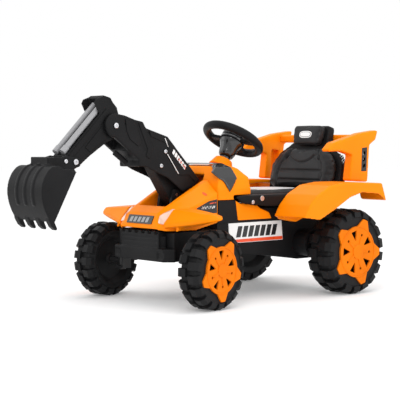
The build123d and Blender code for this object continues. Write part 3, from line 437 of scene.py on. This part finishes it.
# %% Stripes and bars on the body and the boom
label_base = slab("label_plates", [(170, 229), (392, 229), (398, 169.5), (174, 169.5)], 126.1, 127.9)
stand_in(label_base, "side_labels", label_white)
side_films("label_stripe", [(176, 171), (396, 171), (395, 181), (176, 180)], label_base, 150, label_red, "side_labels")
for i, outline in enumerate(bars((200, 186), (1, 0), (0, 1), 7, 18, 6.5, 33, 9)):
    side_films(f"label_bar_{i}", outline, label_base, 150, label_black, "side_labels")
hood = panels["hood"]
wedge = [(16, 262), (40, 262), (122, 262), (122, 302), (92, 298), (50, 281)]
side_films("hood_wedge", wedge, hood, 180, label_black, "hood")
for i, outline in enumerate(bars((62, 275), (1, 0), (0, 1), 4, 10, 3, 9, 4)):
    side_films(f"hood_bar_{i}", outline, hood, 182, label_white, "hood")
side_films("hood_red_bar", [(92, 289), (118, 291), (118, 294), (92, 292)], hood, 182, label_red, "hood")
slope = (0.697, -0.717)
outward = (-0.717, -0.697)
for i, outline in enumerate(bars((26, 448), slope, outward, 6, 9, 3, 12, 4)):
    side_films(f"boom_bar_{i}", outline, laid["boom_band"], 90, label_white, "boom_shell")
for i, outline in enumerate(bars((44, 424), slope, outward, 4, 8, 3, 6, 2)):
    side_films(f"boom_red_bar_{i}", outline, laid["boom_band"], 90, label_red, "boom_shell")
fine_lines = {"boom_line_upper": [(-8, 480), (-5.6, 480), (7, 454), (4.6, 454)],
              "boom_line_lower": [(1, 434), (3.4, 434), (46, 376), (43.6, 376)]}
for name, outline in fine_lines.items():
    side_films(name, outline, laid["boom_band"], 90, label_white, "boom_shell")
# The darker orange ring on the hood is painted shade: a flat film standing in for the shade inside a screw recess.
screw_shade_ring = [(90 + 5 * math.cos(math.tau * i / 16), 318 + 5 * math.sin(math.tau * i / 16)) for i in range(16)]
side_films("hood_screw_painted_shade", screw_shade_ring, hood, 180, recess_shade_orange, "hood")
for side_name, side in SIDES:
    home = f"rear_frame_{side_name}"
    pillar = panels[home]
    inward = Vector((-side, 0, 0))
    corners = [at(side * 240, y, z) for y, z in ((672, 376), (697, 376), (700, 452), (675, 450))]
    film(f"pillar_patch_{side_name}", corners, pillar, inward, label_black, home)
    for i in range(3):
        low = 386 + i * 20
        corners = [at(side * 242, y, z) for y, z in ((679, low), (691, low + 5), (691, low + 15), (679, low + 10))]
        film(f"pillar_bar_{i}_{side_name}", corners, pillar, inward, label_white, home)
plate = frame["nodes"]["number_plate"]
for i in range(5):
    low = -45 + i * 18
    corners = [at(x, -120, z) for x, z in ((low, 238.5), (low + 12, 238.5), (low + 15, 253), (low + 3, 253))]
    film(f"plate_bar_{i}", corners, plate, Vector((0, 1, 0)), bar_grey, "number_plate")
print("films made")

# %% [markdown]
# ## Padded seat, backrest and headrest
# On the real toy these are foam pads in a thin leather-look skin, sewn into channels. A block with a bump map would
# keep sharp edges and a dead outline. Cloth simulation swells a closed skin under pressure, as foam fills a cover, so
# its corners round and its faces crown. The CAD solid gives each pad its place. It is shrunk a little, remeshed into an
# even skin, and puffed up. A cap on how far a point may move keeps the pad inside its shell.

# %% Puff a pad up from its CAD solid
PUFF_FRAMES = 20


def move_capped(piece, before, cap):
    """Limits how far the puffing has moved each point."""
    for vertex, start in zip(piece.data.vertices, before):
        step = vertex.co - start
        if step.length > cap:
            vertex.co = start + step.normalized() * cap


def puffed(node, name, voxel, shrink, cap, pressure=4.0):
    source = frame["nodes"][node]
    mesh = source.data.copy()
    mesh.materials.clear()
    piece = add_object(name, mesh)
    low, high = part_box(node)
    centre = (low + high) / 2
    for vertex in mesh.vertices:
        vertex.co = centre + (vertex.co - centre) * (1 - shrink)
    bpy.context.view_layer.objects.active = piece
    skin = piece.modifiers.new("skin", "REMESH")
    skin.mode = "VOXEL"
    skin.voxel_size = voxel
    skin.use_smooth_shade = True
    apply_modifiers(piece)
    soften = piece.modifiers.new("soften", "SMOOTH")
    soften.iterations = 12
    apply_modifiers(piece)
    before = [v.co.copy() for v in piece.data.vertices]
    cloth = piece.modifiers.new("cloth", "CLOTH")
    cloth.settings.use_pressure = True
    cloth.settings.uniform_pressure_force = pressure
    cloth.settings.effector_weights.gravity = 0
    cloth.settings.tension_stiffness = 20
    cloth.settings.bending_stiffness = 1.0
    cloth.point_cache.frame_start = 1
    cloth.point_cache.frame_end = PUFF_FRAMES
    for step in range(1, PUFF_FRAMES + 1):
        bpy.context.scene.frame_set(step)
    apply_modifiers(piece)
    bpy.context.scene.frame_set(1)
    move_capped(piece, before, cap)
    finer = piece.modifiers.new("finer", "SUBSURF")
    finer.levels = 1
    finer.render_levels = 1
    apply_modifiers(piece)
    print(name, "has", len(piece.data.vertices), "points")
    return piece


# %% [markdown]
# A sewn channel is a narrow valley: the thread pulls the skin down onto the backing. Each seam is a curve across the
# pad's face, and every point of the skin close to it sinks along the face's normal, least at the valley's edges.

# %% Press sewn channels into a pad
def press_seams(piece, seams, to_plane, facing, depth, width):
    """Sinks the skin near each seam. A seam is a list of points on the pad's own plane."""
    runs = [pair for seam in seams for pair in zip(seam, seam[1:])]
    for vertex in piece.data.vertices:
        if vertex.normal.dot(facing) < 0.25:
            continue
        u, v = to_plane(vertex.co)
        nearest = min(distance_to_run(u, v, a, b) for a, b in runs)
        vertex.co -= facing * depth * math.exp(-(nearest / width) ** 2)
    piece.data.update()


def distance_to_run(u, v, a, b):
    """Distance from a point to a straight run, on a plane."""
    run_u, run_v = b[0] - a[0], b[1] - a[1]
    length = run_u * run_u + run_v * run_v
    share = max(0.0, min(1.0, ((u - a[0]) * run_u + (v - a[1]) * run_v) / length))
    return math.hypot(u - a[0] - share * run_u, v - a[1] - share * run_v)


# %% Leather-look skin and grey pad cloth
def leather(name, colour, rough=0.42):
    """Pressed leather-look vinyl: a cell pattern for the grain, a little sheen and wear in the gloss."""
    material, tree, shader = new_material(name)
    broad = noise(tree, 14, 4)
    tone = ramp(tree, broad.outputs["Fac"], [c * 0.8 for c in colour], [c * 1.25 for c in colour])
    tree.links.new(tone.outputs["Color"], shader.inputs["Base Color"])
    place = tree.nodes.new("ShaderNodeTexCoord")
    cells = tree.nodes.new("ShaderNodeTexVoronoi")
    cells.inputs["Scale"].default_value = 420
    cells.feature = "DISTANCE_TO_EDGE"
    tree.links.new(place.outputs["Object"], cells.inputs["Vector"])
    bump = tree.nodes.new("ShaderNodeBump")
    bump.inputs["Strength"].default_value = 0.35
    bump.inputs["Distance"].default_value = 0.0005
    tree.links.new(cells.outputs["Distance"], bump.inputs["Height"])
    tree.links.new(bump.outputs["Normal"], shader.inputs["Normal"])
    gloss = tree.nodes.new("ShaderNodeMapRange")
    gloss.inputs["To Min"].default_value = rough * 0.8
    gloss.inputs["To Max"].default_value = rough * 1.2
    tree.links.new(noise(tree, 60, 5).outputs["Fac"], gloss.inputs["Value"])
    tree.links.new(gloss.outputs["Result"], shader.inputs["Roughness"])
    shader.inputs["Sheen Weight"].default_value = 0.02
    shader.inputs["Specular IOR Level"].default_value = 0.22
    return material


black_leather = leather("pad_leather_black", (0.014, 0.014, 0.015))
grey_leather = leather("pad_leather_grey", (0.66, 0.66, 0.66), 0.36)

# %% The backrest's own plane
LEAN = math.radians(15.0)
BACK_FOOT = (612.0, 296.0)
lean_up = Vector((0, math.sin(LEAN), math.cos(LEAN)))
lean_out = Vector((0, -math.cos(LEAN), math.sin(LEAN)))
back_foot = at(0, *BACK_FOOT)


def on_back(point):
    """Millimetres across and up the backrest."""
    step = point - back_foot
    return step.x / MM, step.dot(lean_up) / MM


def arc(centre_u, centre_v, radius, start, end, steps=10):
    """A seam along a round stretch."""
    turns = [math.radians(start + (end - start) * i / steps) for i in range(steps + 1)]
    return [(centre_u + radius * math.cos(t), centre_v + radius * math.sin(t)) for t in turns]


# %% Make the three pads
back_pad = puffed("backrest_pad", "backrest_cushion", 0.005, 0.02, 0.007)
bolsters = [[(s * 92, 16), (s * 98, 60), (s * 88, 100), (s * 60, 128), (s * 52, 150)] for s in (1, -1)]
channels = [[(-94, 44), (94, 44)], [(-96, 76), (96, 76)]]
crest = [arc(0, 176, 74, 208, 332)]
press_seams(back_pad, bolsters + channels + crest, on_back, lean_out, 0.0045, 4.0)
slots = [[(s * 72, 118), (s * 56, 148)] for s in (1, -1)]
press_seams(back_pad, slots, on_back, lean_out, 0.009, 6.0)
head_pad = puffed("headrest_pad", "headrest_cushion", 0.0045, 0.03, 0.006)
press_seams(head_pad, [[(-70, 164), (70, 164)]], on_back, lean_out, 0.003, 3.5)
seat_low, seat_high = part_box("seat_cushion")
seat_centre = (seat_low + seat_high) / 2


def on_seat(point):
    """Millimetres across and along the seat pad, from its middle."""
    return (point.x - seat_centre.x) / MM, (point.y - seat_centre.y) / MM


seat_pad = puffed("seat_cushion", "seat_pad_cushion", 0.005, 0.02, 0.006, 3.0)
press_seams(seat_pad, [[(s * 74, -130), (s * 80, 0), (s * 74, 130)] for s in (1, -1)]
            + [[(-78, v), (78, v)] for v in (-48, 24)], on_seat, Vector((0, 0, 1)), 0.0035, 4.0)
for pad, node, material in ((back_pad, "backrest_pad", black_leather),
                            (head_pad, "headrest_pad", black_leather),
                            (seat_pad, "seat_cushion", grey_leather)):
    pad.data.materials.clear()
    pad.data.materials.append(material)
    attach(pad, "chassis")
    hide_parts(node)

# %% [markdown]
# The badge is a flat oval plate on the headrest. A stiff plate would sink into the swollen pad, so it is three films laid
# on the finished skin instead: a white plate, a black line and a blank white field, each a little prouder than the last.

# %% Lay the blank oval badge on the headrest
BADGE_CLEAR = 0.02
WIDE_POWER, TALL_POWER = 0.6, 0.8
LINE_LIFT, FIELD_LIFT = 0.0009, 0.0013
badge_low, badge_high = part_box("headrest_badge")
badge_centre = (badge_low + badge_high) / 2 + lean_out * BADGE_CLEAR


def oval(half_wide, half_tall, steps=40):
    """An oval on the headrest's plane, in metres, squarer than an ellipse."""
    corners = []
    for i in range(steps):
        cos_t, sin_t = math.cos(math.tau * i / steps), math.sin(math.tau * i / steps)
        across = half_wide * math.copysign(abs(cos_t) ** WIDE_POWER, cos_t)
        upward = half_tall * math.copysign(abs(sin_t) ** TALL_POWER, sin_t)
        corners.append(badge_centre + Vector((across, 0, 0)) + lean_up * upward)
    return corners


badge = film("headrest_oval", oval(0.027, 0.0115), head_pad, -lean_out, label_white, "headrest_badge")
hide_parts("headrest_badge")
film("headrest_oval_line", oval(0.0235, 0.0085), head_pad, -lean_out, label_black, "headrest_badge", LINE_LIFT)
film("headrest_oval_field", oval(0.022, 0.0072), head_pad, -lean_out, label_white, "headrest_badge", FIELD_LIFT)
print("badge films: 3")

# %% Colour the seat pad's middle
seat_pad.data.materials.append(black_leather)
GREY_LONG, GREY_WIDE, GREY_SHIFT = 118, 84, 8
for face in seat_pad.data.polygons:
    across, along = on_seat(face.center)
    inside = (abs(across) / GREY_WIDE) ** 2.6 + (abs(along - GREY_SHIFT) / GREY_LONG) ** 2.6 < 1
    face.material_index = 0 if inside else 1
print("pads made: 3")


# %% [markdown]
# ## Camera, light and floor
# A plain studio: a pale floor that runs to the horizon, a large soft key from the front left, a fill and a top light.
# The camera stands low, ahead of the left front corner, with a long lens, which keeps the wheels nearly round.

# %% Camera
CAMERA_AZIMUTH = 48.35
CAMERA_DOWN = 2.85
CAMERA_AT = at(2637.6, -2174.7, 469.3)
LENS = 105.25
azimuth = math.radians(CAMERA_AZIMUTH)
down = math.radians(CAMERA_DOWN)
back = Vector((math.sin(azimuth) * math.cos(down), -math.cos(azimuth) * math.cos(down), math.sin(down)))
lens = bpy.data.cameras.new("camera")
lens.lens = LENS
lens.sensor_width = 36
camera = bpy.data.objects.new("camera", lens)
camera.location = CAMERA_AT
camera.rotation_mode = "QUATERNION"
camera.rotation_quaternion = (-back).to_track_quat("-Z", "Y")
bpy.context.scene.collection.objects.link(camera)
bpy.context.scene.camera = camera

# %% Floor and lights
FLOOR_HALF = 14.0
floor_mesh = bpy.data.meshes.new("floor")
floor_mesh.from_pydata([(-FLOOR_HALF, -FLOOR_HALF, 0), (FLOOR_HALF, -FLOOR_HALF, 0), (FLOOR_HALF, FLOOR_HALF, 0),
                        (-FLOOR_HALF, FLOOR_HALF, 0)], [], [(0, 1, 2, 3)])
floor = add_object("floor", floor_mesh)
floor_paint, floor_tree, floor_shader = new_material("pale_floor")
floor_tone = ramp(floor_tree, noise(floor_tree, 3).outputs["Fac"], (0.86, 0.86, 0.86), (0.88, 0.88, 0.88))
floor_tree.links.new(floor_tone.outputs["Color"], floor_shader.inputs["Base Color"])
floor_shader.inputs["Roughness"].default_value = 0.9
floor_shader.inputs["Specular IOR Level"].default_value = 0.1
floor_shader.inputs["Emission Color"].default_value = (1, 1, 1, 1)
floor_shader.inputs["Emission Strength"].default_value = 0.13
floor.data.materials.append(floor_paint)


def soft_light(name, place, target, size, watts):
    """A square area light that looks at a point."""
    lamp = bpy.data.lights.new(name, "AREA")
    lamp.size = size
    lamp.energy = watts
    piece = bpy.data.objects.new(name, lamp)
    piece.location = place
    piece.rotation_euler = (Vector(target) - Vector(place)).to_track_quat("-Z", "Y").to_euler()
    bpy.context.scene.collection.objects.link(piece)


middle = (cad_low + cad_high) / 2
soft_light("key", (2.2, -2.6, 2.6), middle, 1.6, 42)
soft_light("fill", (-2.6, -2.2, 1.8), middle, 2.0, 12)
soft_light("top", (0.4, 0.6, 3.4), middle, 2.4, 26)
soft_light("side", (3.0, 1.4, 1.5), middle, 1.6, 14)
sky = bpy.data.worlds.new("studio")
sky.use_nodes = True
sky.node_tree.nodes["Background"].inputs["Color"].default_value = (1, 1, 1, 1)
sky.node_tree.nodes["Background"].inputs["Strength"].default_value = 1.0
bpy.context.scene.world = sky
bpy.context.scene.view_settings.view_transform = "Standard"
